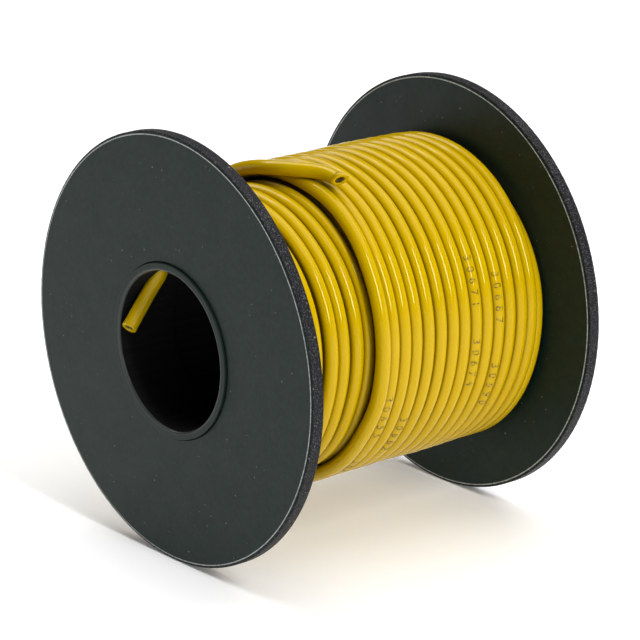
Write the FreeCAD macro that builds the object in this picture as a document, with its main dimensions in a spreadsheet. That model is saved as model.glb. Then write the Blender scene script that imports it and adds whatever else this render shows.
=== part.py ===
import FreeCAD, Part
import Sketcher
import math
import os

# Spool of insulated wire: two plain flanges pressed on a stepped barrel, and one long wire
# wound on it in four layers. The spool's axis is Y, +Z is up and the origin is the spool's
# centre. The wire starts at a hole in the barrel beside the near (-Y) flange, and its last
# turn lies on the third layer beside the fourth, with its free end crossing over the top.

doc = FreeCAD.newDocument("wire_spool")
sheet = doc.addObject("Spreadsheet::Sheet", "Sizes")

sizes = [
    ("flange_dia", 65.5, "outer diameter of both flanges"),
    ("flange_thickness", 2.15, "axial thickness of a flange"),
    ("flange_fit", 0.03, "radial clearance of the flange's hole on the spigot"),
    ("rim_step_width", 0.35, "how far the rim's step reaches in from the outer diameter"),
    ("rim_step_depth", 0.15, "how far that step lies below the flange's faces"),
    ("rim_round", 0.1, "rounding of the rim's edges"),
    ("hole_chamfer", 0.15, "chamfer of the flange's hole on its outer face"),
    ("overall_width", 55.7, "distance between the flanges' outer faces"),
    ("bore_dia", 24.2, "bearing lands at both ends of the bore"),
    ("land_length", 10.0, "axial length of a bearing land"),
    ("bore_relief", 0.4, "how much wider the bore is between the lands, on the radius"),
    ("spigot_wall", 1.2, "wall of the barrel's end that passes through a flange"),
    ("spigot_proud", 0.4, "how far the barrel's end stands out of the flange"),
    ("mouth_round", 0.3, "rounding of the bore's mouths"),
    ("ring_round", 0.12, "rounding of the spigot's outer edge"),
    ("barrel_wall", 3.4, "wall of the barrel between the flanges, at its bearing lands"),
    ("wire_dia", 2.3, "outer diameter of the wire's insulation"),
    ("conductor_dia", 1.15, "bundle of strands inside the insulation"),
    ("layer_rise", 2.12, "what each nested layer adds to the radius"),
    ("groove_depth", 0.55, "depth of the groove between two turns"),
    ("groove_width", 1.2, "width of that groove"),
    ("top_layer_inset", 21.2, "from the near flange's inner face to the fourth layer"),
    ("top_layer_width", 29.0, "axial width of the fourth layer"),
    ("wire_hole_dia", 3.0, "hole in the barrel for the wire's start"),
    ("wire_hole_side", 7.2, "from the spool's axis to the hole's axis, towards -X"),
    ("wire_hole_inset", 2.3, "from the near flange's inner face to the hole's axis"),
]
for row, (alias, value, meaning) in enumerate(sizes, start=1):
    sheet.set(f"A{row}", alias)
    sheet.set(f"B{row}", str(value))
    sheet.setAlias(f"B{row}", alias)
    sheet.set(f"C{row}", meaning)
doc.recompute()


def value_of(formula):
    return float(sheet.evalExpression(formula))


# Formulas that several sub-parts share
SPIGOT_RADIUS = "(Sizes.bore_dia / 2 + Sizes.spigot_wall)"
BARREL_RADIUS = "(Sizes.bore_dia / 2 + Sizes.barrel_wall)"
INNER_FACE = "(Sizes.overall_width / 2 - Sizes.flange_thickness)"
WINDING_WIDTH = "(Sizes.overall_width - 2 * Sizes.flange_thickness)"
SHOULDER = "(Sizes.spigot_proud + Sizes.flange_thickness)"
BARREL_LENGTH = "(Sizes.overall_width + 2 * Sizes.spigot_proud)"


def layer_bottom(layer):
    """Radius that layer 1, 2, 3 or 4 is wound on: the barrel, or the crests of the layer below."""
    if layer == 1:
        return BARREL_RADIUS
    return f"({BARREL_RADIUS} + Sizes.wire_dia + {layer - 2} * Sizes.layer_rise)"


def layer_crest(layer):
    return layer_bottom(layer + 1)


# ---- Helpers for turned bodies ------------------------------------------------------------


def origin_feature(body, role):
    return next(feature for feature in body.Origin.OriginFeatures if feature.Role == role)


def new_body(label):
    body = doc.addObject("PartDesign::Body", label)
    body.Label = label
    return body


def new_sketch(body, name):
    sketch = body.newObject("Sketcher::SketchObject", name)
    sketch.AttachmentSupport = [(origin_feature(body, "XY_Plane"), "")]
    sketch.MapMode = "FlatFace"
    return sketch


def bind_distance(sketch, kind, line, formula):
    """Ties the start of a line to the origin by a formula, or to the sketch's X axis where it is 0."""
    if formula == "0":
        sketch.addConstraint(Sketcher.Constraint("PointOnObject", line, 1, -1))
        return
    place = Sketcher.Constraint(kind, -1, 1, line, 1, value_of(formula))
    name = f"{kind}_{line}"
    sketch.renameConstraint(sketch.addConstraint(place), name)
    sketch.setExpression(f"Constraints.{name}", formula)


def turned_outline(body, name, corners):
    """Closed polygon in the body's XY plane, whose corners are (radius, axial) formulas."""
    sketch = new_sketch(body, name)
    points = [FreeCAD.Vector(value_of(radius), value_of(axial), 0) for radius, axial in corners]
    for start, end in zip(points, points[1:] + points[:1]):
        sketch.addGeometry(Part.LineSegment(start, end), False)
    for line in range(len(points)):
        following = (line + 1) % len(points)
        sketch.addConstraint(Sketcher.Constraint("Coincident", line, 2, following, 1))
    for line, (radius, axial) in enumerate(corners):
        bind_distance(sketch, "DistanceX", line, radius)
        bind_distance(sketch, "DistanceY", line, axial)
    return sketch


def turn(body, kind, name, corners):
    """Adds (Revolution) or cuts away (Groove) the outline turned once round the body's Y axis."""
    sketch = turned_outline(body, f"{name}_outline", corners)
    feature = body.newObject(f"PartDesign::{kind}", name)
    feature.Profile = sketch
    feature.ReferenceAxis = (sketch, ["V_Axis"])
    feature.Angle = 360
    return feature


def round_edges(body, base, name, radius, circles):
    """Rounds the circular edges of base that lie at the (radius, axial) formulas in circles."""
    doc.recompute()
    wanted = [(value_of(r), value_of(axial)) for r, axial in circles]
    found = []
    for number, edge in enumerate(base.Shape.Edges, start=1):
        if not isinstance(edge.Curve, Part.Circle):
            continue
        at = (edge.Curve.Radius, edge.Curve.Center.y)
        if any(math.dist(at, place) < 1e-4 for place in wanted):
            found.append(f"Edge{number}")
    fillet = body.newObject("PartDesign::Fillet", name)
    fillet.Base = (base, found)
    fillet.setExpression("Radius", radius)
    return fillet


# ---- Flanges ------------------------------------------------------------------------------


def flange(label, turn_about_z, outward):
    """Moulded disc with a stepped rim. Its own Y runs from its inner face to its outer face."""
    body = new_body(label)
    hole = f"{SPIGOT_RADIUS} + Sizes.flange_fit"
    rim = "Sizes.flange_dia / 2"
    face_edge = "Sizes.flange_dia / 2 - Sizes.rim_step_width"
    low_step = "Sizes.rim_step_depth"
    high_step = "Sizes.flange_thickness - Sizes.rim_step_depth"
    outer_face = "Sizes.flange_thickness"
    disc = turn(body, "Revolution", "disc", [
        (hole, "0"),
        (face_edge, "0"),
        (face_edge, low_step),
        (rim, low_step),
        (rim, high_step),
        (face_edge, high_step),
        (face_edge, outer_face),
        (f"{hole} + Sizes.hole_chamfer", outer_face),
        (hole, "Sizes.flange_thickness - Sizes.hole_chamfer"),
    ])
    round_edges(body, disc, "rim_edges", "Sizes.rim_round", [
        (face_edge, "0"),
        (rim, low_step),
        (rim, high_step),
        (face_edge, outer_face),
    ])
    body.Placement.Rotation = FreeCAD.Rotation(FreeCAD.Vector(0, 0, 1), turn_about_z)
    body.setExpression("Placement.Base.y", f"{outward} * {INNER_FACE}")
    return body


near_flange = flange("near_flange", 180, -1)
far_flange = flange("far_flange", 0, 1)


# ---- Barrel -------------------------------------------------------------------------------


def barrel():
    """Stepped tube: a spigot through each flange, shoulders that the flanges seat on, and a
    bore with a bearing land at each end. Its own Y runs from its near end to its far end."""
    body = new_body("barrel")
    bore = "Sizes.bore_dia / 2"
    relieved = "Sizes.bore_dia / 2 + Sizes.bore_relief"
    far_shoulder = f"{BARREL_LENGTH} - {SHOULDER}"
    tube = turn(body, "Revolution", "tube", [
        (bore, "0"),
        (SPIGOT_RADIUS, "0"),
        (SPIGOT_RADIUS, SHOULDER),
        (BARREL_RADIUS, SHOULDER),
        (BARREL_RADIUS, far_shoulder),
        (SPIGOT_RADIUS, far_shoulder),
        (SPIGOT_RADIUS, BARREL_LENGTH),
        (bore, BARREL_LENGTH),
        (bore, f"{BARREL_LENGTH} - Sizes.land_length"),
        (relieved, f"{BARREL_LENGTH} - Sizes.land_length - Sizes.bore_relief"),
        (relieved, "Sizes.land_length + Sizes.bore_relief"),
        (bore, "Sizes.land_length"),
    ])
    mouths = round_edges(body, tube, "mouths", "Sizes.mouth_round", [
        (bore, "0"),
        (bore, BARREL_LENGTH),
    ])
    round_edges(body, mouths, "ring_edges", "Sizes.ring_round", [
        (SPIGOT_RADIUS, "0"),
        (SPIGOT_RADIUS, BARREL_LENGTH),
    ])
    wire_hole(body)
    body.setExpression("Placement.Base.y", f"-{BARREL_LENGTH} / 2")
    return body


def wire_hole(body):
    """Round hole, parallel to Z, through the top of the barrel's wall."""
    sketch = new_sketch(body, "wire_hole_circle")
    side = value_of("Sizes.wire_hole_side")
    along = f"{SHOULDER} + Sizes.wire_hole_inset"
    centre = FreeCAD.Vector(-side, value_of(along), 0)
    radius = value_of("Sizes.wire_hole_dia") / 2
    circle = sketch.addGeometry(Part.Circle(centre, FreeCAD.Vector(0, 0, 1), radius), False)
    for name, rule, formula in (
        ("side", Sketcher.Constraint("DistanceX", circle, 3, -1, 1, side), "Sizes.wire_hole_side"),
        ("along", Sketcher.Constraint("DistanceY", -1, 1, circle, 3, centre.y), along),
        ("across", Sketcher.Constraint("Diameter", circle, 2 * radius), "Sizes.wire_hole_dia"),
    ):
        sketch.renameConstraint(sketch.addConstraint(rule), name)
        sketch.setExpression(f"Constraints.{name}", formula)
    before = body.Shape.Volume
    pocket = body.newObject("PartDesign::Pocket", "wire_hole")
    pocket.Profile = sketch
    pocket.Reversed = True
    pocket.setExpression("Length", BARREL_RADIUS)
    doc.recompute()
    if body.Shape.Volume >= before:
        raise RuntimeError("the wire hole cuts nothing")


barrel_body = barrel()


# ---- Wire: the layers that are wound ------------------------------------------------------


def wound_layer(layer, width, inset):
    """Closed ring of one layer's outer shape, grooved between its turns. Its own Y starts at
    the flank nearest the near flange."""
    body = new_body(f"wire_layer_{layer}")
    inside = layer_bottom(layer)
    crest = layer_crest(layer)
    turns = f"round({width} / Sizes.wire_dia)"
    spacing = f"({width} / {turns})"
    turn(body, "Revolution", "ring", [(inside, "0"), (crest, "0"), (crest, width), (inside, width)])
    groove = turn(body, "Groove", "groove", [
        (crest, f"{spacing} - Sizes.groove_width / 2"),
        (crest, f"{spacing} + Sizes.groove_width / 2"),
        (f"{crest} - Sizes.groove_depth", spacing),
    ])
    doc.recompute()
    grooves = body.newObject("PartDesign::LinearPattern", "grooves")
    grooves.Originals = [groove]
    grooves.Direction = (origin_feature(body, "Y_Axis"), [""])
    grooves.Mode = "Spacing"
    grooves.setExpression("Offset", spacing)
    grooves.setExpression("Occurrences", f"{turns} - 1")
    body.Tip = grooves
    body.setExpression("Placement.Base.y", f"{inset} - {INNER_FACE}")
    return body


layers = [wound_layer(layer, WINDING_WIDTH, "0") for layer in (1, 2, 3)]
layers.append(wound_layer(4, "Sizes.top_layer_width", "Sizes.top_layer_inset"))


# ---- Wire: the two ends that are not wound into a layer -------------------------------------

near_inner_face = -value_of(INNER_FACE)
hole_x = -value_of("Sizes.wire_hole_side")
hole_y = near_inner_face + value_of("Sizes.wire_hole_inset")
barrel_radius = value_of(BARREL_RADIUS)
seat_radius = value_of(f"{layer_crest(3)} + Sizes.wire_dia / 2")

# The start: from above the hole down into the bore and out towards the near mouth.
# Each point is (x, y) from the hole's axis and z from the spool's axis.
start_route = [
    FreeCAD.Vector(hole_x + aside, hole_y + along, height)
    for aside, along, height in (
        (0.0, 0.0, barrel_radius + 0.4),
        (0.0, -0.1, 11.4),
        (-0.7, -0.6, 7.2),
        (-2.5, -1.7, 3.7),
        (-3.25, -3.95, 0.6),
    )
]

# The last turn and the free end. Each point is an angle from +Z towards +X, a distance from
# the near flange's inner face, and a height above a wire that rests on the third layer.
end_route_places = [
    (25, 19.93, 0.25),
    (51, 19.40, 0.89),
    (81, 18.95, 0.89),
    (111, 18.50, 0.89),
    (141, 18.15, 0.89),
    (171, 17.95, 0.89),
    (201, 17.83, 0.89),
    (231, 17.76, 0.89),
    (261, 17.73, 0.89),
    (290, 17.76, 0.89),
    (316, 17.75, 0.76),
    (336, 17.55, 0.68),
    (350, 17.40, 0.66),
    (361, 17.55, 0.98),
    (369.5, 18.20, 1.70),
    (376.5, 19.40, 2.42),
    (382.6, 21.80, 2.60),
]


def round_the_spool(angle, along, lift):
    radius = seat_radius + lift
    turned = math.radians(angle)
    return FreeCAD.Vector(
        radius * math.sin(turned), near_inner_face + along, radius * math.cos(turned)
    )


end_route = [round_the_spool(*place) for place in end_route_places]


def rounded_path(label, points):
    """Straight runs joined by tangent arcs, each arc as large as its two runs allow."""
    edges = []
    radii = []
    reached = points[0]
    for before, corner, after in zip(points, points[1:], points[2:]):
        back = (before - corner).normalize()
        ahead = (after - corner).normalize()
        reach = 0.45 * min(before.distanceToPoint(corner), after.distanceToPoint(corner))
        half_turn = (math.pi - back.getAngle(ahead)) / 2
        radius = reach / math.tan(half_turn)
        middle = (back + ahead).normalize() * (radius / math.cos(half_turn) - radius)
        entry = corner + back * reach
        leaving = corner + ahead * reach
        edges.append(Part.LineSegment(reached, entry).toShape())
        edges.append(Part.Arc(entry, corner + middle, leaving).toShape())
        radii.append(round(radius, 1))
        reached = leaving
    edges.append(Part.LineSegment(reached, points[-1]).toShape())
    path = doc.addObject("Part::Feature", label)
    path.Shape = Part.Wire(edges)
    print(label, "radii", radii, "length", round(path.Shape.Length, 2))
    return path


def swept_round(label, path, diameter):
    """Round bar along a path, its section held to a size of the sheet."""
    first = path.Shape.Edges[0]
    section = doc.addObject("Part::Circle", f"{label}_section")
    section.Placement = FreeCAD.Placement(
        first.valueAt(first.FirstParameter),
        FreeCAD.Rotation(FreeCAD.Vector(0, 0, 1), first.tangentAt(first.FirstParameter)),
    )
    section.setExpression("Radius", f"{diameter} / 2")
    bar = doc.addObject("Part::Sweep", label)
    bar.Sections = [section]
    bar.Spine = (path, [f"Edge{n}" for n in range(1, len(path.Shape.Edges) + 1)])
    bar.Solid = True
    bar.Transition = "Transformed"
    doc.recompute()
    area = math.pi * value_of(diameter) ** 2 / 4
    print(label, "volume", round(bar.Shape.Volume, 3), "expected", round(area * path.Shape.Length, 3))
    return bar


def boolean(kind, label, first, second):
    result = doc.addObject(f"Part::{kind}", label)
    result.Label = label
    if kind == "Cut":
        result.Base = first
        result.Tool = second
    else:
        result.Shapes = [first, second]
    return result


start_path = rounded_path("start_path", start_route)
end_path = rounded_path("end_path", end_route)

# The start is cut off at the barrel's surface, where the first layer takes it up.
inside_barrel = doc.addObject("Part::Cylinder", "inside_barrel")
inside_barrel.setExpression("Radius", BARREL_RADIUS)
inside_barrel.setExpression("Height", "Sizes.overall_width")
inside_barrel.Placement.Rotation = FreeCAD.Rotation(FreeCAD.Vector(1, 0, 0), -90)
inside_barrel.setExpression("Placement.Base.y", "-Sizes.overall_width / 2")

start_bar = swept_round("start_bar", start_path, "Sizes.wire_dia")
start_strands = swept_round("start_strands", start_path, "Sizes.conductor_dia")
start_conductor = boolean("MultiCommon", "start_conductor", start_strands, inside_barrel)
start_cover = boolean("Cut", "start_cover", start_bar, start_strands)
start_insulation = boolean("MultiCommon", "start_insulation", start_cover, inside_barrel)

end_bar = swept_round("end_bar", end_path, "Sizes.wire_dia")
end_conductor = swept_round("end_conductor", end_path, "Sizes.conductor_dia")
end_insulation = boolean("Cut", "end_insulation", end_bar, end_conductor)


# ---- Checks and files ---------------------------------------------------------------------

doc.recompute()
parts = [near_flange, far_flange, barrel_body]
parts += layers
parts += [start_insulation, start_conductor, end_insulation, end_conductor]

for thing in doc.Objects:
    if "Invalid" in thing.State or "Error" in thing.State:
        raise RuntimeError(f"{thing.Label} did not recompute: {thing.State}")
for part in parts:
    if part.Shape.isNull() or not part.Shape.isValid() or len(part.Shape.Solids) != 1:
        raise RuntimeError(f"{part.Label} is not one valid solid")

os.makedirs("parts", exist_ok=True)
for part in parts:
    part.Shape.exportStep(f"parts/{part.Label}.step")
    print(part.Label, "volume", round(part.Shape.Volume, 2))
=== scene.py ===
import bpy, bmesh, math
from mathutils import Matrix, Vector


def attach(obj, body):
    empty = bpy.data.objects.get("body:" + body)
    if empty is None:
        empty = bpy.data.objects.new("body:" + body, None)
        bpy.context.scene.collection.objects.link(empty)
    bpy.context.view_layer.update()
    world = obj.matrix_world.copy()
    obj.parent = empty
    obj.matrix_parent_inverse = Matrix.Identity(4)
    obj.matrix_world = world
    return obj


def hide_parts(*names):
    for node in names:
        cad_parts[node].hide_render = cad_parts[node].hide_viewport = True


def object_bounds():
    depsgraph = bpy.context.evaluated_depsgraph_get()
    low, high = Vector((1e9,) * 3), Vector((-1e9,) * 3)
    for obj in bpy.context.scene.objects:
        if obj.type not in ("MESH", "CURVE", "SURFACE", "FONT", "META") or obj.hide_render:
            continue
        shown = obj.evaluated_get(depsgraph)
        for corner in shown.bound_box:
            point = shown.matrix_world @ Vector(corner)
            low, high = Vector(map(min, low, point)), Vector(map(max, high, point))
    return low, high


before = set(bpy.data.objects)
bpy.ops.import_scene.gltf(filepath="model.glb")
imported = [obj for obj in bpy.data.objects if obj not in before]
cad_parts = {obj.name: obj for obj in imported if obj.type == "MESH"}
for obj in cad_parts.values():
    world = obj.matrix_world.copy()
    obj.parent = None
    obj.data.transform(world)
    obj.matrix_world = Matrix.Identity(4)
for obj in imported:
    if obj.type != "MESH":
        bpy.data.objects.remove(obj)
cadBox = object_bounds()
mm = 0.001


# values and links go by a socket's name or number; a Mix node's numbers are 2 and 3 and its
# colours 6 and 7
def addNode(tree, kind, values=None, links=None, **settings):
    node = tree.nodes.new(kind)
    for name, setting in settings.items():
        setattr(node, name, setting)
    for socket, value in (values or {}).items():
        node.inputs[socket].default_value = value
    for socket, source in (links or {}).items():
        tree.links.new(source, node.inputs[socket])
    return node


def hexColour(text):
    parts = [int(text[i:i + 2], 16) / 255 for i in (1, 3, 5)]
    return [c / 12.92 if c <= 0.04045 else ((c + 0.055) / 1.055) ** 2.4 for c in parts] + [1.0]


def emptyMaterial(name):
    material = bpy.data.materials.new(name)
    material.use_nodes = True
    material.node_tree.nodes.clear()
    return material, material.node_tree


# what a curve, a text or a modifier makes, as a mesh
def plainMesh(piece):
    bpy.context.view_layer.update()
    seen = piece.evaluated_get(bpy.context.evaluated_depsgraph_get())
    return bpy.data.meshes.new_from_object(seen)


def addPiece(name, data):
    piece = bpy.data.objects.new(name, data)
    bpy.context.collection.objects.link(piece)
    return piece


# camera, light and floor

view = {
    "place": (0.40636, -0.33731, 0.16872),
    "right": (0.63947, 0.76881, 0.0),
    "up": (-0.23512, 0.19555, 0.95209),
    "back": (0.73198, -0.60884, 0.30581),
    "lens": 206.07,
    "sensor": 36.0,
}


def makeCamera():
    data = bpy.data.cameras.new("camera")
    data.lens, data.sensor_width = view["lens"], view["sensor"]
    data.clip_start, data.clip_end = 0.01, 20
    camera = addPiece("camera", data)
    turned = Matrix([view["right"], view["up"], view["back"]]).transposed().to_4x4()
    camera.matrix_world = Matrix.Translation(view["place"]) @ turned
    bpy.context.scene.camera = camera


studio = {
    "floorColour": "#FCFCFC",
    "floorSize": 6.0,
    "floorRoughness": 0.8,
    "floorGlow": 0.12,  # a little light of its own, which keeps its shadows pale
    "skyColour": "#FFFFFF",
    "brightSide": (0.32, 0.22, 0.92),  # the sky is dim away from this direction
    "skyStrength": (0.01, 0.04),
    "horizon": 1.05,  # strength of the pale band behind the floor's edge
    "horizonHeight": (0.095, 0.15),  # sines of the heights between which that band fades
    # place, aim, width, height, watts
    "lamps": {
        "rightBox": ((1.08, -0.065, 0.70), (0, 0, 0), 0.20, 0.75, 13.0),
        "leftBox": ((-0.836, 0.0, 0.996), (0, 0, 0), 0.80, 0.80, 7.0),
        "overhead": ((0.1, 0.35, 1.2), (0, 0, 0), 1.6, 1.6, 16.0),
    },
}


def makeStudio():
    world = bpy.data.worlds.new("sky")
    world.use_nodes = True
    world.node_tree.nodes.clear()
    place = addNode(world.node_tree, "ShaderNodeTexCoord")
    side = addNode(world.node_tree, "ShaderNodeVectorMath", {1: studio["brightSide"]},
                   {0: place.outputs["Generated"]}, operation="DOT_PRODUCT")
    dim, bright = studio["skyStrength"]
    strength = addNode(world.node_tree, "ShaderNodeMapRange",
                       {"From Min": -0.2, "From Max": 1.0, "To Min": dim, "To Max": bright},
                       {"Value": side.outputs["Value"]})
    height = addNode(world.node_tree, "ShaderNodeSeparateXYZ", None,
                     {0: place.outputs["Generated"]})
    bandTop, clear = studio["horizonHeight"]
    band = addNode(world.node_tree, "ShaderNodeMapRange",
                   {"From Min": bandTop, "From Max": clear, "To Min": studio["horizon"],
                    "To Max": 0.0},
                   {"Value": height.outputs["Z"]})
    strength = addNode(world.node_tree, "ShaderNodeMath", None,
                       {0: strength.outputs["Result"], 1: band.outputs["Result"]},
                       operation="MAXIMUM")
    sky = addNode(world.node_tree, "ShaderNodeBackground",
                  {"Color": hexColour(studio["skyColour"])}, {"Strength": strength.outputs[0]})
    addNode(world.node_tree, "ShaderNodeOutputWorld", links={"Surface": sky.outputs[0]})
    bpy.context.scene.world = world
    for name, (place, aim, width, height, watts) in studio["lamps"].items():
        data = bpy.data.lights.new(name, "AREA")
        data.shape, data.size, data.size_y, data.energy = "RECTANGLE", width, height, watts
        lamp = addPiece(name, data)
        lamp.location = place
        lamp.rotation_euler = (Vector(aim) - Vector(place)).to_track_quat("-Z", "Y").to_euler()

    half, low = studio["floorSize"] / 2, cadBox[0].z
    mesh = bpy.data.meshes.new("floor")
    corners = [(-half, -half, low), (half, -half, low), (half, half, low), (-half, half, low)]
    mesh.from_pydata(corners, [], [(0, 1, 2, 3)])
    floor = addPiece("floor", mesh)
    material, tree = emptyMaterial("paintedFloor")
    paint = addNode(tree, "ShaderNodeBsdfPrincipled",
                    {"Base Color": hexColour(studio["floorColour"]),
                     "Roughness": studio["floorRoughness"],
                     "Emission Color": hexColour(studio["floorColour"]),
                     "Emission Strength": studio["floorGlow"]})
    addNode(tree, "ShaderNodeOutputMaterial", links={"Surface": paint.outputs[0]})
    mesh.materials.append(material)

    scene = bpy.context.scene
    scene.view_settings.view_transform = "Standard"
    scene.view_settings.look = "None"


makeCamera()
makeStudio()
print("camera and studio made")


# wire: one length, from its start in the bore to its free end on top of the winding

wire = {
    "diameter": 2.3,
    "innerFace": -25.7,  # the near flange's inner face
    "channel": 51.4,  # from there to the far flange's inner face
    "hole": (-7.2, -23.4),
    # angles go round the spool's axis from its top, in degrees
    "measuredAt": 76,  # where the turns below are measured
    "startsAt": 351,  # where the first layer begins
    "stopsBefore": 62,  # how far before the last turn's measured place the layers stop
    "leadIn": 2.312,  # from the wire's start to its first measured turn, along the barrel
    "tableEnd": 316,  # the last angle in the tables of crossings
    "rise": 2.12,  # what one nested layer adds to the radius
    # how far each turn lies from the near flange at that angle, and the layer's centre radius
    "firstLayer": [2.96 + 2.312 * n for n in range(21)],
    "secondLayer": [50.25 - 2.338 * n for n in range(22)],
    "thirdLayer": [1.15, 3.48, 5.84, 8.23, 11.28, 13.41, 16.06, 18.35]
    + [18.35 + 2.279 * n for n in range(1, 15)],
    "fourthLayer": [48.5, 46.45, 44.05, 41.75, 39.45, 37.2, 34.9, 32.7, 30.35, 27.85, 25.45,
                    23.25, 21.05, 18.75],
    "radii": (16.65, 18.78, 20.9, 23.02),
    "climbs": ((110, 220), (110, 220)),  # angles over which it climbs to the second and third
    # where a turn leaves its even screw line, as (angle, mm towards the far flange)
    "thirdCrossing": [(-60, 0.15), (6, 0.13), (56, 0.36), (76, 0.0), (111, -0.88), (150, -0.6),
                      (220, -0.1), (300, 0.15)],
    "fourthCrossing": [(-40, -0.05), (-10, 0.08), (15, 0.42), (35, 0.45), (50, 0.21), (76, 0.0),
                       (100, -0.40), (120, -0.42), (140, -0.15), (165, -0.11), (185, 0.0),
                       (316, 0.0)],
    # how much farther out the fourth layer rides, by turn, and then by angle
    "turnRise": [0.0, 0.0, 0.07, 0.13, 0.16, 0.19, 0.18, 0.13, 0.07, 0.16, 0.18, 0.21, 0.19, 0.14],
    "crossingRise": [(-40, 0.14), (-10, 0.20), (15, 0.0), (100, 0.0), (120, -0.05), (140, -0.21),
                     (165, -0.18), (200, 0.0), (316, 0.1)],
    # the third layer's last turn rides up between its neighbour and the far flange
    "wedgedTurn": [(-80, 0.0), (-10, 0.1), (20, 0.3), (40, 0.7), (60, 1.15), (76, 1.4), (110, 1.7),
                   (150, 1.9), (200, 2.12)],
    "pointsPerTurn": (12, 12, 24, 24),
    # from the tip in the bore up to the hole in the barrel: offsets from the hole, and a height
    "startRoute": [(-3.35, -3.72, 1.38), (-2.57, -2.43, 4.08), (-1.54, -0.68, 7.72),
                   (-0.15, -0.20, 9.7), (0.12, 0.12, 14.6)],
    # the last turn and the free end: angle, distance from the near flange, height over the seat
    "endRoute": [(25, 19.50, 0.90), (40, 19.42, 0.90), (51, 19.15, 0.92), (66, 18.88, 0.92),
                 (81, 18.66, 0.92), (96, 18.30, 0.92), (111, 18.05, 0.90), (141, 18.00, 0.75),
                 (171, 17.85, 0.80), (201, 17.70, 0.89), (231, 17.60, 0.89), (261, 17.55, 0.89),
                 (290, 17.50, 0.89), (316, 17.45, 0.80), (336, 17.25, 0.78), (350, 17.10, 0.98),
                 (361, 17.25, 1.42), (368, 18.12, 1.94), (375.2, 20.03, 2.62),
                 (380.1, 20.78, 3.18), (383.3, 20.87, 3.44)],
    "seatRadius": 23.19,
}


def aroundSpool(angle, along, radius):
    turned = math.radians(angle)
    return Vector((radius * math.sin(turned), wire["innerFace"] + along,
                   radius * math.cos(turned))) * mm


def between(table, x):
    if x <= table[0][0]:
        return table[0][1]
    for (x0, y0), (x1, y1) in zip(table, table[1:]):
        if x <= x1:
            return y0 + (y1 - y0) * (x - x0) / (x1 - x0)
    return table[-1][1]


def windingPoints():
    layers = [wire["firstLayer"], wire["secondLayer"], wire["thirdLayer"], wire["fourthLayer"]]
    crossings = [[(0, 0)], [(0, 0)], wire["thirdCrossing"], wire["fourthCrossing"]]
    turns, layerOfTurn = [], []
    for number, layer in enumerate(layers):
        turns += layer
        layerOfTurn += [number] * len(layer)
    firstOfFourth = layerOfTurn.index(3) + 1
    # one more turn comes first, because the wire starts before the first measured one
    turns = [turns[0] - wire["leadIn"]] + turns
    layerOfTurn = [0] + layerOfTurn
    lastAngle = wire["measuredAt"] + 360 * (len(turns) - 1)
    lastStep = len(wire["turnRise"]) - 1
    angle = wire["startsAt"]
    points = []
    while angle < lastAngle - wire["stopsBefore"]:
        whole = (angle - wire["measuredAt"]) / 360
        turn = int(whole)
        layer = layerOfTurn[turn]
        ahead = layerOfTurn[turn + 1]
        share = whole - turn
        past = (angle - wire["measuredAt"]) % 360 + wire["measuredAt"]
        radius = wire["radii"][layer]
        local = past if past <= wire["tableEnd"] else past - 360
        if layer == 3:  # rides over what lies under it
            step = turn - firstOfFourth
            risen = wire["turnRise"][step], wire["turnRise"][min(step + 1, lastStep)]
            radius += risen[0] + (risen[1] - risen[0]) * share
            radius += between(wire["crossingRise"], local)
        rise = 0
        if layer == 2 and turn >= firstOfFourth - 2:
            rise = between(wire["wedgedTurn"], angle - 360 * (firstOfFourth - 1)) / wire["rise"]
        elif ahead != layer:  # climbs to the next layer at the flange
            low, high = wire["climbs"][layer]
            rise = min(max((past - low) / (high - low), 0), 1)
            rise = rise * rise * (3 - 2 * rise)
        above = min(layer + 1, 3)
        radius += (wire["radii"][above] - radius) * rise
        aside = between(crossings[layer], local)
        aside += (between(crossings[above], local) - aside) * rise
        along = turns[turn] + (turns[turn + 1] - turns[turn]) * share + aside
        edge = wire["diameter"] / 2
        along = min(max(along, edge), wire["channel"] - edge)
        count = wire["pointsPerTurn"][layer]
        # the spline cuts inside its points, so they stand a little farther out
        points.append(aroundSpool(angle, along, radius / math.cos(math.pi / count)))
        angle += 360 / count
    return points


def makeWire():
    points = [Vector((wire["hole"][0] + aside, wire["hole"][1] + along, height)) * mm
              for aside, along, height in wire["startRoute"]]
    points += windingPoints()
    points += [aroundSpool(angle, along, wire["seatRadius"] + lift)
               for angle, along, lift in wire["endRoute"]]
    curve = bpy.data.curves.new("wire", "CURVE")
    curve.dimensions = "3D"
    spline = curve.splines.new("NURBS")
    spline.points.add(len(points) - 1)
    for slot, point in zip(spline.points, points):
        slot.co = (*point, 1.0)
    spline.order_u = 3
    spline.use_endpoint_u = True
    spline.resolution_u = 4
    curve.resolution_u = 4
    curve.bevel_depth = wire["diameter"] / 2 * mm
    curve.bevel_resolution = 6
    curve.use_fill_caps = True
    return addPiece("wire", curve)


def centreLine(curve):
    bare = curve.data.copy()
    bare.bevel_depth = 0
    probe = addPiece("probe", bare)
    mesh = plainMesh(probe)
    line = [vertex.co.copy() for vertex in mesh.vertices]
    bpy.data.objects.remove(probe)
    bpy.data.meshes.remove(mesh)
    return line


wirePiece = makeWire()
wireLine = centreLine(wirePiece)


# cut ends: a collar of insulation, and the conductor's strands a little way down in it

cutEnd = {
    "outer": 1.14,
    "inner": 0.62,
    "length": 0.7,
    "lip": 0.06,
    "overlap": 0.02,  # how far its base reaches into the wire
    "sides": 36,
    # how far each cut's face leans off the wire's own direction
    "startLean": (0.40, -0.335, 0.17),
    "freeLean": (-0.1, -0.45, -0.50),
}
strands = {
    "diameter": 0.235,
    "sides": 10,
    "spacing": 1.02,  # in strand diameters
    "length": 0.66,
    "unevenness": 0.14,
    "seed": 4,
}


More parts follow.
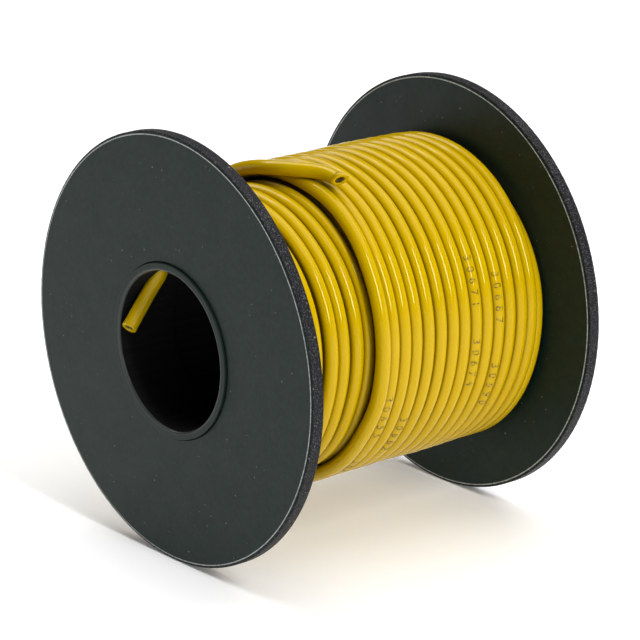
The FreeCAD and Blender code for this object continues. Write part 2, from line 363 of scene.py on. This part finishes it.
def endFrame(line, lean):
    tip = line[0]
    outward = (tip - line[1]).normalized()
    side = outward.cross(Vector((0, 0, 1))).normalized()
    over = outward.cross(side)
    return tip, outward, side, over, (outward + Vector(lean)).normalized()


def makeCollar(name, line, lean):
    tip, outward, side, over, facing = endFrame(line, lean)
    outer, inner, lip = cutEnd["outer"], cutEnd["inner"], cutEnd["lip"]
    middle = tip + outward * cutEnd["length"] * mm
    # radius and height of each ring; None is the base, in the wire
    rings = [(outer, None), (outer, -lip), (outer - lip, 0.0), (inner + lip, 0.0), (inner, -lip),
             (inner, None)]
    mesh = bmesh.new()
    rows = []
    for radius, height in rings:
        row = []
        for number in range(cutEnd["sides"]):
            turned = 2 * math.pi * number / cutEnd["sides"]
            ray = (side * math.cos(turned) + over * math.sin(turned)) * radius * mm
            if height is None:
                point = tip + ray - outward * cutEnd["overlap"] * mm
            else:
                slope = -ray.dot(facing) / outward.dot(facing)
                point = middle + ray + outward * (slope + height * mm)
            row.append(mesh.verts.new(point))
        rows.append(row)
    rows.append(rows[0])
    for low, high in zip(rows, rows[1:]):
        for number in range(cutEnd["sides"]):
            after = (number + 1) % cutEnd["sides"]
            mesh.faces.new((low[number], low[after], high[after], high[number]))
    bmesh.ops.recalc_face_normals(mesh, faces=mesh.faces)
    for face in mesh.faces:
        face.smooth = True
    data = bpy.data.meshes.new(name)
    mesh.to_mesh(data)
    mesh.free()
    return addPiece(name, data)


# points on a hexagonal grid, each carrying one round strand, cut to uneven lengths
def strandTree(material):
    tree = bpy.data.node_groups.new("strandBundle", "GeometryNodeTree")
    for name, kind in (("Geometry", "NodeSocketGeometry"), ("Strand Diameter", "NodeSocketFloat"),
                       ("Length", "NodeSocketFloat"), ("Unevenness", "NodeSocketFloat"),
                       ("Seed", "NodeSocketInt")):
        tree.interface.new_socket(name, in_out="INPUT", socket_type=kind)
    tree.interface.new_socket("Geometry", in_out="OUTPUT", socket_type="NodeSocketGeometry")
    given = addNode(tree, "NodeGroupInput").outputs
    half = addNode(tree, "ShaderNodeMath", {1: 0.5}, {0: given["Strand Diameter"]},
                   operation="MULTIPLY").outputs[0]
    strand = addNode(tree, "GeometryNodeMeshCylinder",
                     {"Vertices": strands["sides"], "Depth": 1.0}, {"Radius": half})
    lifted = addNode(tree, "GeometryNodeTransform", {"Translation": (0, 0, 0.5)},
                     {"Geometry": strand.outputs["Mesh"]})
    least = addNode(tree, "ShaderNodeMath", None,
                    {0: given["Length"], 1: given["Unevenness"]}, operation="SUBTRACT").outputs[0]
    reach = addNode(tree, "FunctionNodeRandomValue", None,
                    {2: least, 3: given["Length"], "Seed": given["Seed"]}, data_type="FLOAT")
    tall = addNode(tree, "ShaderNodeCombineXYZ", {"X": 1.0, "Y": 1.0}, {"Z": reach.outputs[1]})
    placed = addNode(tree, "GeometryNodeInstanceOnPoints", None,
                     {"Points": given["Geometry"], "Instance": lifted.outputs["Geometry"],
                      "Scale": tall.outputs[0]})
    real = addNode(tree, "GeometryNodeRealizeInstances", None,
                   {"Geometry": placed.outputs["Instances"]})
    finished = addNode(tree, "GeometryNodeSetMaterial", {"Material": material},
                       {"Geometry": real.outputs["Geometry"]})
    addNode(tree, "NodeGroupOutput", links={"Geometry": finished.outputs["Geometry"]})
    return tree


def makeStrands(name, line, lean, tree, material):
    tip, outward, side, over, facing = endFrame(line, lean)
    spacing = strands["diameter"] * strands["spacing"] * mm
    seats = [Vector((x + y / 2, y * math.sqrt(3) / 2, 0)) * spacing
             for x in range(-2, 3) for y in range(-2, 3) if abs(x + y) <= 2]
    data = bpy.data.meshes.new(name)
    data.from_pydata(seats, [], [])
    piece = addPiece(name, data)
    modifier = piece.modifiers.new("bundle", "NODES")
    modifier.node_group = tree
    sockets = {item.name: item.identifier for item in tree.interface.items_tree
               if item.in_out == "INPUT"}
    for label, value in (("Strand Diameter", strands["diameter"] * mm),
                         ("Length", strands["length"] * mm),
                         ("Unevenness", strands["unevenness"] * mm), ("Seed", strands["seed"])):
        modifier[sockets[label]] = value
    plain = plainMesh(piece)
    piece.modifiers.clear()
    for vertex in plain.vertices:
        across = side * vertex.co.x + over * vertex.co.y
        slope = -across.dot(facing) / outward.dot(facing)
        share = vertex.co.z / (cutEnd["length"] * mm)
        vertex.co = tip + across + outward * (vertex.co.z + slope * share)
    plain.name = name
    plain.materials.clear()
    plain.materials.append(material)
    piece.data = plain
    return piece


# length marks: plain running numbers, inked on the insulation

marks = {
    "height": 1.75,  # font size; a digit stands about seven tenths of it
    "spacing": 1.9,
    "proud": 0.012,
    "lean": -22,  # degrees round the wire from its outermost line
    "cell": 0.14,  # the digits are cut this fine, to wrap round the wire,
    "cuts": 5,  # with so many cuts above and below their middle
    # number, angle round the spool, distance from the near flange
    "places": [("30671", 61, 37.5), ("30687", 68, 41.1), ("30674", 92, 36.5), ("30690", 100, 40.4),
               ("30655", 104, 19.8), ("30662", 114, 25.4), ("30658", 138, 20.1),
               ("30643", 200, 30.4), ("30683", 265, 39.5), ("30668", 318, 32.8)],
}


def flatDigits(number):
    words = bpy.data.curves.new("digits", "FONT")
    words.body, words.size = number, marks["height"] * mm
    words.space_character = marks["spacing"]
    words.align_y = "CENTER"
    words.resolution_u = 3
    holder = addPiece("digits", words)
    flat = plainMesh(holder)
    bpy.data.objects.remove(holder)
    mesh = bmesh.new()
    mesh.from_mesh(flat)
    cell = marks["cell"] * mm
    for cut in range(-marks["cuts"], marks["cuts"] + 1):
        bmesh.ops.bisect_plane(mesh, geom=mesh.verts[:] + mesh.edges[:] + mesh.faces[:],
                               plane_co=(0, cut * cell, 0), plane_no=(0, 1, 0))
    return mesh


def makeMarks(line):
    along = [0.0]
    for a, b in zip(line, line[1:]):
        along.append(along[-1] + (b - a).length)
    radius = wire["diameter"] / 2 * mm
    whole = bmesh.new()
    for number, angle, fromFlange in marks["places"]:
        target = aroundSpool(angle, fromFlange, wire["radii"][3])
        start = min(range(len(line)), key=lambda i: (line[i] - target).length)
        digits = flatDigits(number)
        for vertex in digits.verts:
            wanted = along[start] + vertex.co.x
            at = start
            while along[at + 1] < wanted:
                at += 1
            share = (wanted - along[at]) / (along[at + 1] - along[at])
            centre = line[at].lerp(line[at + 1], share)
            forward = (line[at + 1] - line[at - 1]).normalized().lerp(
                (line[at + 2] - line[at]).normalized(), share).normalized()
            out = Vector((centre.x, 0, centre.z)).normalized()
            out = (out - forward * out.dot(forward)).normalized()
            aside = out.cross(forward)
            if aside.y < 0:
                aside = -aside
            turned = math.radians(marks["lean"]) + vertex.co.y / radius
            vertex.co = centre + (out * math.cos(turned) + aside * math.sin(turned)) * (
                radius + marks["proud"] * mm)
        digits.normal_update()
        outwards = 0
        for face in digits.faces:
            middle = face.calc_center_median()
            outwards += face.normal.dot(Vector((middle.x, 0, middle.z)))
        if outwards < 0:
            bmesh.ops.reverse_faces(digits, faces=digits.faces)
        part = bpy.data.meshes.new("part")
        digits.to_mesh(part)
        digits.free()
        whole.from_mesh(part)
        bpy.data.meshes.remove(part)
    data = bpy.data.meshes.new("lengthMarks")
    whole.to_mesh(data)
    whole.free()
    return addPiece("lengthMarks", data)


# materials

noiseRange = {"From Min": 0.3, "From Max": 0.7}  # nearly all of a noise lies in it

rubber = {
    "colour": "#BD9C00",
    # painted shade: the skin darkens to this colour where nearby turns close it in, within
    # grooveDepth
    "grooveShadeColour": "#705600",
    "grooveDepth": 2.0 * mm,
    "openness": (0.15, 0.75),  # in a groove's bottom, in full painted shade, and on clear skin
    "roughness": 0.13,
    "ior": 1.34,
    "highlightTint": (1.0, 0.95, 0.7, 1.0),
    "ripple": mm / 1.8,  # from the die: about 0.1 mm on real wire, drawn coarser so that it shows
    "rippleDepth": 0.03 * mm,
}


# Silicone rubber, extruded: a smooth skin with soft gloss and a faint ripple from the die, with
# painted shade darkening it down in the grooves between turns, where the turns close it in
def siliconeRubber():
    material, tree = emptyMaterial("extrudedSiliconeRubber")
    place = addNode(tree, "ShaderNodeTexCoord")
    ripple = addNode(tree, "ShaderNodeTexNoise", {"Scale": 1 / rubber["ripple"], "Detail": 3.0},
                     {"Vector": place.outputs["Object"]})
    bump = addNode(tree, "ShaderNodeBump", {"Strength": 0.12, "Distance": rubber["rippleDepth"]},
                   {"Height": ripple.outputs["Fac"]})
    openness = addNode(tree, "ShaderNodeAmbientOcclusion", {"Distance": rubber["grooveDepth"]},
                       samples=8)
    deep, clear = rubber["openness"]
    share = addNode(tree, "ShaderNodeMapRange", {"From Min": deep, "From Max": clear},
                    {"Value": openness.outputs["AO"]})
    colour = addNode(tree, "ShaderNodeMix",
                     {6: hexColour(rubber["grooveShadeColour"]), 7: hexColour(rubber["colour"])},
                     {0: share.outputs["Result"]}, data_type="RGBA")
    surface = addNode(tree, "ShaderNodeBsdfPrincipled",
                      {"Roughness": rubber["roughness"], "IOR": rubber["ior"],
                       "Specular Tint": rubber["highlightTint"]},
                      {"Base Color": colour.outputs[2], "Normal": bump.outputs["Normal"]})
    addNode(tree, "ShaderNodeOutputMaterial", links={"Surface": surface.outputs[0]})
    return material


ink = {
    "colour": "#57420A",
    "wornColour": "#B39300",
    "patch": 0.35 * mm,
    "wear": (0.45, 0.65),  # where in the patches it begins to wear, and is worn through
    "roughness": 0.5,
    "ior": 1.4,
}


# Marking ink, rolled on by a print wheel: thin, matt and dark, rubbed away in patches
def rolledInk():
    material, tree = emptyMaterial("rolledInk")
    place = addNode(tree, "ShaderNodeTexCoord").outputs["Object"]
    patch = addNode(tree, "ShaderNodeTexNoise", {"Scale": 1 / ink["patch"], "Detail": 3.0},
                    {"Vector": place}).outputs[0]
    begins, through = ink["wear"]
    share = addNode(tree, "ShaderNodeMapRange", {"From Min": begins, "From Max": through},
                    {"Value": patch}).outputs[0]
    colour = addNode(tree, "ShaderNodeMix",
                     {6: hexColour(ink["colour"]), 7: hexColour(ink["wornColour"])},
                     {0: share}, data_type="RGBA").outputs[2]
    bump = addNode(tree, "ShaderNodeBump", {"Strength": 0.2, "Distance": 0.01 * mm},
                   {"Height": patch})
    surface = addNode(tree, "ShaderNodeBsdfPrincipled",
                      {"Roughness": ink["roughness"], "IOR": ink["ior"]},
                      {"Base Color": colour, "Normal": bump.outputs["Normal"]})
    addNode(tree, "ShaderNodeOutputMaterial", links={"Surface": surface.outputs[0]})
    return material


copper = {
    "colour": "#67635B",
    # painted shade: the ends darken to this colour down between the strands
    "strandShadeColour": "#1A1816",
    "gap": 0.5 * mm,  # how far round a point the strands shade it
    "openness": (0.35, 1.0),
    "roughness": (0.35, 0.6),
    "burr": 0.08 * mm,  # the cutters' marks, drawn coarser than real ones so that they show
}


# Copper wire, drawn fine, tinned and cut: dull grey ends, with painted shade between the strands
def tinnedCopper():
    material, tree = emptyMaterial("tinnedCopper")
    place = addNode(tree, "ShaderNodeTexCoord").outputs["Object"]
    burr = addNode(tree, "ShaderNodeTexNoise", {"Scale": 1 / copper["burr"], "Detail": 2.0},
                   {"Vector": place}).outputs[0]
    openness = addNode(tree, "ShaderNodeAmbientOcclusion", {"Distance": copper["gap"]}, samples=8)
    deep, clear = copper["openness"]
    share = addNode(tree, "ShaderNodeMapRange", {"From Min": deep, "From Max": clear},
                    {"Value": openness.outputs["AO"]}).outputs[0]
    colour = addNode(tree, "ShaderNodeMix",
                     {6: hexColour(copper["strandShadeColour"]), 7: hexColour(copper["colour"])},
                     {0: share}, data_type="RGBA").outputs[2]
    smooth, rough = copper["roughness"]
    roughness = addNode(tree, "ShaderNodeMapRange",
                        {**noiseRange, "To Min": smooth, "To Max": rough},
                        {"Value": burr}).outputs[0]
    bump = addNode(tree, "ShaderNodeBump", {"Strength": 0.4, "Distance": 0.01 * mm},
                   {"Height": burr})
    surface = addNode(tree, "ShaderNodeBsdfPrincipled", {"Metallic": 1.0},
                      {"Base Color": colour, "Roughness": roughness,
                       "Normal": bump.outputs["Normal"]})
    addNode(tree, "ShaderNodeOutputMaterial", links={"Surface": surface.outputs[0]})
    return material


plastic = {
    "colour": "#0B1D18",
    "paleColour": "#0F241E",
    "rimColour": "#0B0B0D",
    # the next two are painted highlights: a line along the faces' edges, and glints on the rim
    "edgeHighlightColour": "#BDC1BE",
    "glintColour": "#74747A",
    "dustColour": "#6B7069",
    # the eroded skin's grain and the rim's specks: about 0.1 mm on a real moulding, drawn coarser
    # so that they show
    "grain": 0.32 * mm,
    "speck": 0.15 * mm,
    "cloud": 4.0 * mm,  # patches of slightly more and less gloss
    "mottle": 0.9 * mm,
    "dust": 0.45 * mm,
    "glints": (0.61, 0.73),  # the range over which a speck of the rim begins to glint
    "flecks": (0.825, 0.875),  # and over which a fleck of dust begins to show
    "faceEdge": 32.27 * mm,  # radius of the faces' rubbed edges, with a painted highlight line,
    "edgeWidth": (0.05 * mm, 0.1 * mm),  # which fades between these distances from it
    "rim": 32.5 * mm,
    "roughness": (0.41, 0.49),
    "rimRoughness": 0.6,
    "edgeRoughness": 0.25,
    "ior": 1.29,
    "relief": 0.035 * mm,
}


# High-impact polystyrene, moulded in a spark-eroded tool: a satin black skin with a green cast and
# a few flecks of dust, rubbed glossy along the faces' edges with a thin painted highlight there,
# and a rim with painted glints in specks
def mouldedPolystyrene():
    material, tree = emptyMaterial("mouldedPolystyrene")
    place = addNode(tree, "ShaderNodeTexCoord").outputs["Object"]
    flat = addNode(tree, "ShaderNodeVectorMath", {1: (1.0, 0.0, 1.0)}, {0: place},
                   operation="MULTIPLY")
    radius = addNode(tree, "ShaderNodeVectorMath", None, {0: flat.outputs[0]},
                     operation="LENGTH").outputs["Value"]
    offEdge = addNode(tree, "ShaderNodeMath", {1: plastic["faceEdge"]}, {0: radius},
                      operation="SUBTRACT").outputs[0]
    offEdge = addNode(tree, "ShaderNodeMath", None, {0: offEdge}, operation="ABSOLUTE").outputs[0]
    bright, plain = plastic["edgeWidth"]
    edge = addNode(tree, "ShaderNodeMapRange",
                   {"From Min": bright, "From Max": plain, "To Min": 1.0, "To Max": 0.0},
                   {"Value": offEdge}).outputs[0]
    rim = addNode(tree, "ShaderNodeMapRange",
                  {"From Min": plastic["rim"], "From Max": plastic["rim"] + 0.1 * mm},
                  {"Value": radius}).outputs[0]

    grain, cloud, speck, mottle, dust = [
        addNode(tree, "ShaderNodeTexNoise", {"Scale": 1 / plastic[size], "Detail": detail},
                {"Vector": place}).outputs[0]
        for size, detail in (("grain", 2.0), ("cloud", 4.0), ("speck", 1.0), ("mottle", 3.0),
                             ("dust", 0.0))]
    least, most = plastic["glints"]
    glint = addNode(tree, "ShaderNodeMapRange", {"From Min": least, "From Max": most},
                    {"Value": speck}).outputs[0]
    glint = addNode(tree, "ShaderNodeMath", None, {0: glint, 1: rim},
                    operation="MULTIPLY").outputs[0]
    edgeWearAndHighlight = addNode(tree, "ShaderNodeMapRange", {"From Min": 0.35, "From Max": 0.6, "To Min": 0.45},
                   {"Value": grain}).outputs[0]
    edgeWearAndHighlight = addNode(tree, "ShaderNodeMath", None, {0: edgeWearAndHighlight, 1: edge},
                   operation="MULTIPLY").outputs[0]
    least, most = plastic["flecks"]
    fleck = addNode(tree, "ShaderNodeMapRange", {"From Min": least, "From Max": most},
                    {"Value": dust}).outputs[0]

    share = addNode(tree, "ShaderNodeMapRange", {"From Min": 0.35, "From Max": 0.65},
                    {"Value": mottle}).outputs[0]
    colour = addNode(tree, "ShaderNodeMix",
                     {6: hexColour(plastic["colour"]), 7: hexColour(plastic["paleColour"])},
                     {0: share}, data_type="RGBA").outputs[2]
    # over the base: rim tone, painted glints, a painted edge highlight with some wear, and dust
    for shade, part in (("rimColour", rim), ("glintColour", glint), ("edgeHighlightColour", edgeWearAndHighlight),
                        ("dustColour", fleck)):
        colour = addNode(tree, "ShaderNodeMix", {7: hexColour(plastic[shade])},
                         {0: part, 6: colour}, data_type="RGBA").outputs[2]
    smooth, rough = plastic["roughness"]
    roughness = addNode(tree, "ShaderNodeMapRange",
                        {**noiseRange, "To Min": smooth, "To Max": rough},
                        {"Value": cloud}).outputs[0]
    for named, part in (("rimRoughness", rim), ("edgeRoughness", edge)):
        roughness = addNode(tree, "ShaderNodeMix", {3: plastic[named]}, {0: part, 2: roughness},
                            data_type="FLOAT").outputs[0]
    height = addNode(tree, "ShaderNodeMix", {0: 0.5}, {2: grain, 3: speck},
                     data_type="FLOAT").outputs[0]
    bump = addNode(tree, "ShaderNodeBump", {"Strength": 0.6, "Distance": plastic["relief"]},
                   {"Height": height})
    surface = addNode(tree, "ShaderNodeBsdfPrincipled", {"IOR": plastic["ior"]},
                      {"Base Color": colour, "Roughness": roughness,
                       "Normal": bump.outputs["Normal"]})
    addNode(tree, "ShaderNodeOutputMaterial", links={"Surface": surface.outputs[0]})
    return material


barrel = {
    # painted shade: the bore is the faces' plastic, darkened where little light reaches into it
    "colour": "#020202",
    "faceColour": "#0C1F18",
    # painted highlight along the mouth of each end
    "mouthHighlightColour": "#3A3E3C",
    "mouthRadius": 12.45 * mm,
    "mouthWidth": 0.05 * mm,  # how far each side of that radius the painted mouth highlight fades
    "mouthEnd": 27.95 * mm,
    "endDepth": 0.1 * mm,
    "streak": 0.6 * mm,  # draw marks, made wider than real ones so that they show
    "roughness": (0.75, 0.95),
    "faceRoughness": 0.45,
    "mouthRoughness": 0.2,
    "ior": 1.3,
    "relief": 0.02 * mm,
}


# The barrel, high-impact polystyrene drawn off its core: matt, with painted shade making the bore
# deep black, faint draw marks along it, and a painted highlight round each end's glossier mouth
def coreDrawnPolystyrene():
    material, tree = emptyMaterial("coreDrawnPolystyrene")
    place = addNode(tree, "ShaderNodeTexCoord").outputs["Object"]
    flat = addNode(tree, "ShaderNodeVectorMath", {1: (1.0, 0.0, 1.0)}, {0: place},
                   operation="MULTIPLY")
    radius = addNode(tree, "ShaderNodeVectorMath", None, {0: flat.outputs[0]},
                     operation="LENGTH").outputs["Value"]
    inside = addNode(tree, "ShaderNodeMapRange",
                     {"From Min": barrel["mouthRadius"] - barrel["mouthWidth"],
                      "From Max": barrel["mouthRadius"] + barrel["mouthWidth"],
                      "To Min": 1.0, "To Max": 0.0},
                     {"Value": radius}).outputs[0]
    along = addNode(tree, "ShaderNodeSeparateXYZ", None, {0: place}).outputs["Y"]
    along = addNode(tree, "ShaderNodeMath", None, {0: along}, operation="ABSOLUTE").outputs[0]
    outer = addNode(tree, "ShaderNodeMapRange",
                    {"From Min": barrel["mouthEnd"] - barrel["endDepth"],
                     "From Max": barrel["mouthEnd"]},
                    {"Value": along}).outputs[0]
    mouth = addNode(tree, "ShaderNodeMath", None, {0: inside, 1: outer},
                    operation="MULTIPLY").outputs[0]
    drawn = addNode(tree, "ShaderNodeVectorMath", {1: (1.0, 0.03, 1.0)}, {0: place},
                    operation="MULTIPLY").outputs[0]
    streak = addNode(tree, "ShaderNodeTexNoise", {"Scale": 1 / barrel["streak"], "Detail": 3.0},
                     {"Vector": drawn}).outputs[0]
    smooth, rough = barrel["roughness"]
    roughness = addNode(tree, "ShaderNodeMapRange",
                        {**noiseRange, "To Min": smooth, "To Max": rough},
                        {"Value": streak}).outputs[0]
    for named, part in (("faceRoughness", outer), ("mouthRoughness", mouth)):
        roughness = addNode(tree, "ShaderNodeMix", {3: barrel[named]}, {0: part, 2: roughness},
                            data_type="FLOAT").outputs[0]
    colour = addNode(tree, "ShaderNodeMix",
                     {6: hexColour(barrel["colour"]), 7: hexColour(barrel["faceColour"])},
                     {0: outer}, data_type="RGBA").outputs[2]
    colour = addNode(tree, "ShaderNodeMix", {7: hexColour(barrel["mouthHighlightColour"])},
                     {0: mouth, 6: colour}, data_type="RGBA").outputs[2]
    bump = addNode(tree, "ShaderNodeBump", {"Strength": 0.3, "Distance": barrel["relief"]},
                   {"Height": streak})
    surface = addNode(tree, "ShaderNodeBsdfPrincipled", {"IOR": barrel["ior"]},
                      {"Base Color": colour, "Roughness": roughness,
                       "Normal": bump.outputs["Normal"]})
    addNode(tree, "ShaderNodeOutputMaterial", links={"Surface": surface.outputs[0]})
    return material


polystyrene = mouldedPolystyrene()
for name in ("near_flange", "far_flange"):
    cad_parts[name].material_slots[0].material = polystyrene
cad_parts["barrel"].material_slots[0].material = coreDrawnPolystyrene()
skin = siliconeRubber()
wirePiece.data.materials.append(skin)
print("materials given")

tinned = tinnedCopper()
bundle = strandTree(tinned)
onWire = []
for end, line, node in (("start", wireLine, "start_conductor"),
                        ("free", wireLine[::-1], "end_conductor")):
    lean = cutEnd[end + "Lean"]
    collar = makeCollar(end + "Collar", line, lean)
    collar.data.materials.append(skin)
    core = makeStrands(end + "Strands", line, lean, bundle, tinned)
    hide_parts(node)
    onWire += [collar, core]
print("cut ends made")

printed = makeMarks(wireLine)
printed.data.materials.append(rolledInk())
onWire.append(printed)
for piece in onWire:
    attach(piece, "root")
print("length marks made,", len(printed.data.polygons), "faces")

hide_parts("wire_layer_1", "wire_layer_2", "wire_layer_3", "wire_layer_4",
            "start_insulation", "end_insulation")
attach(wirePiece, "root")
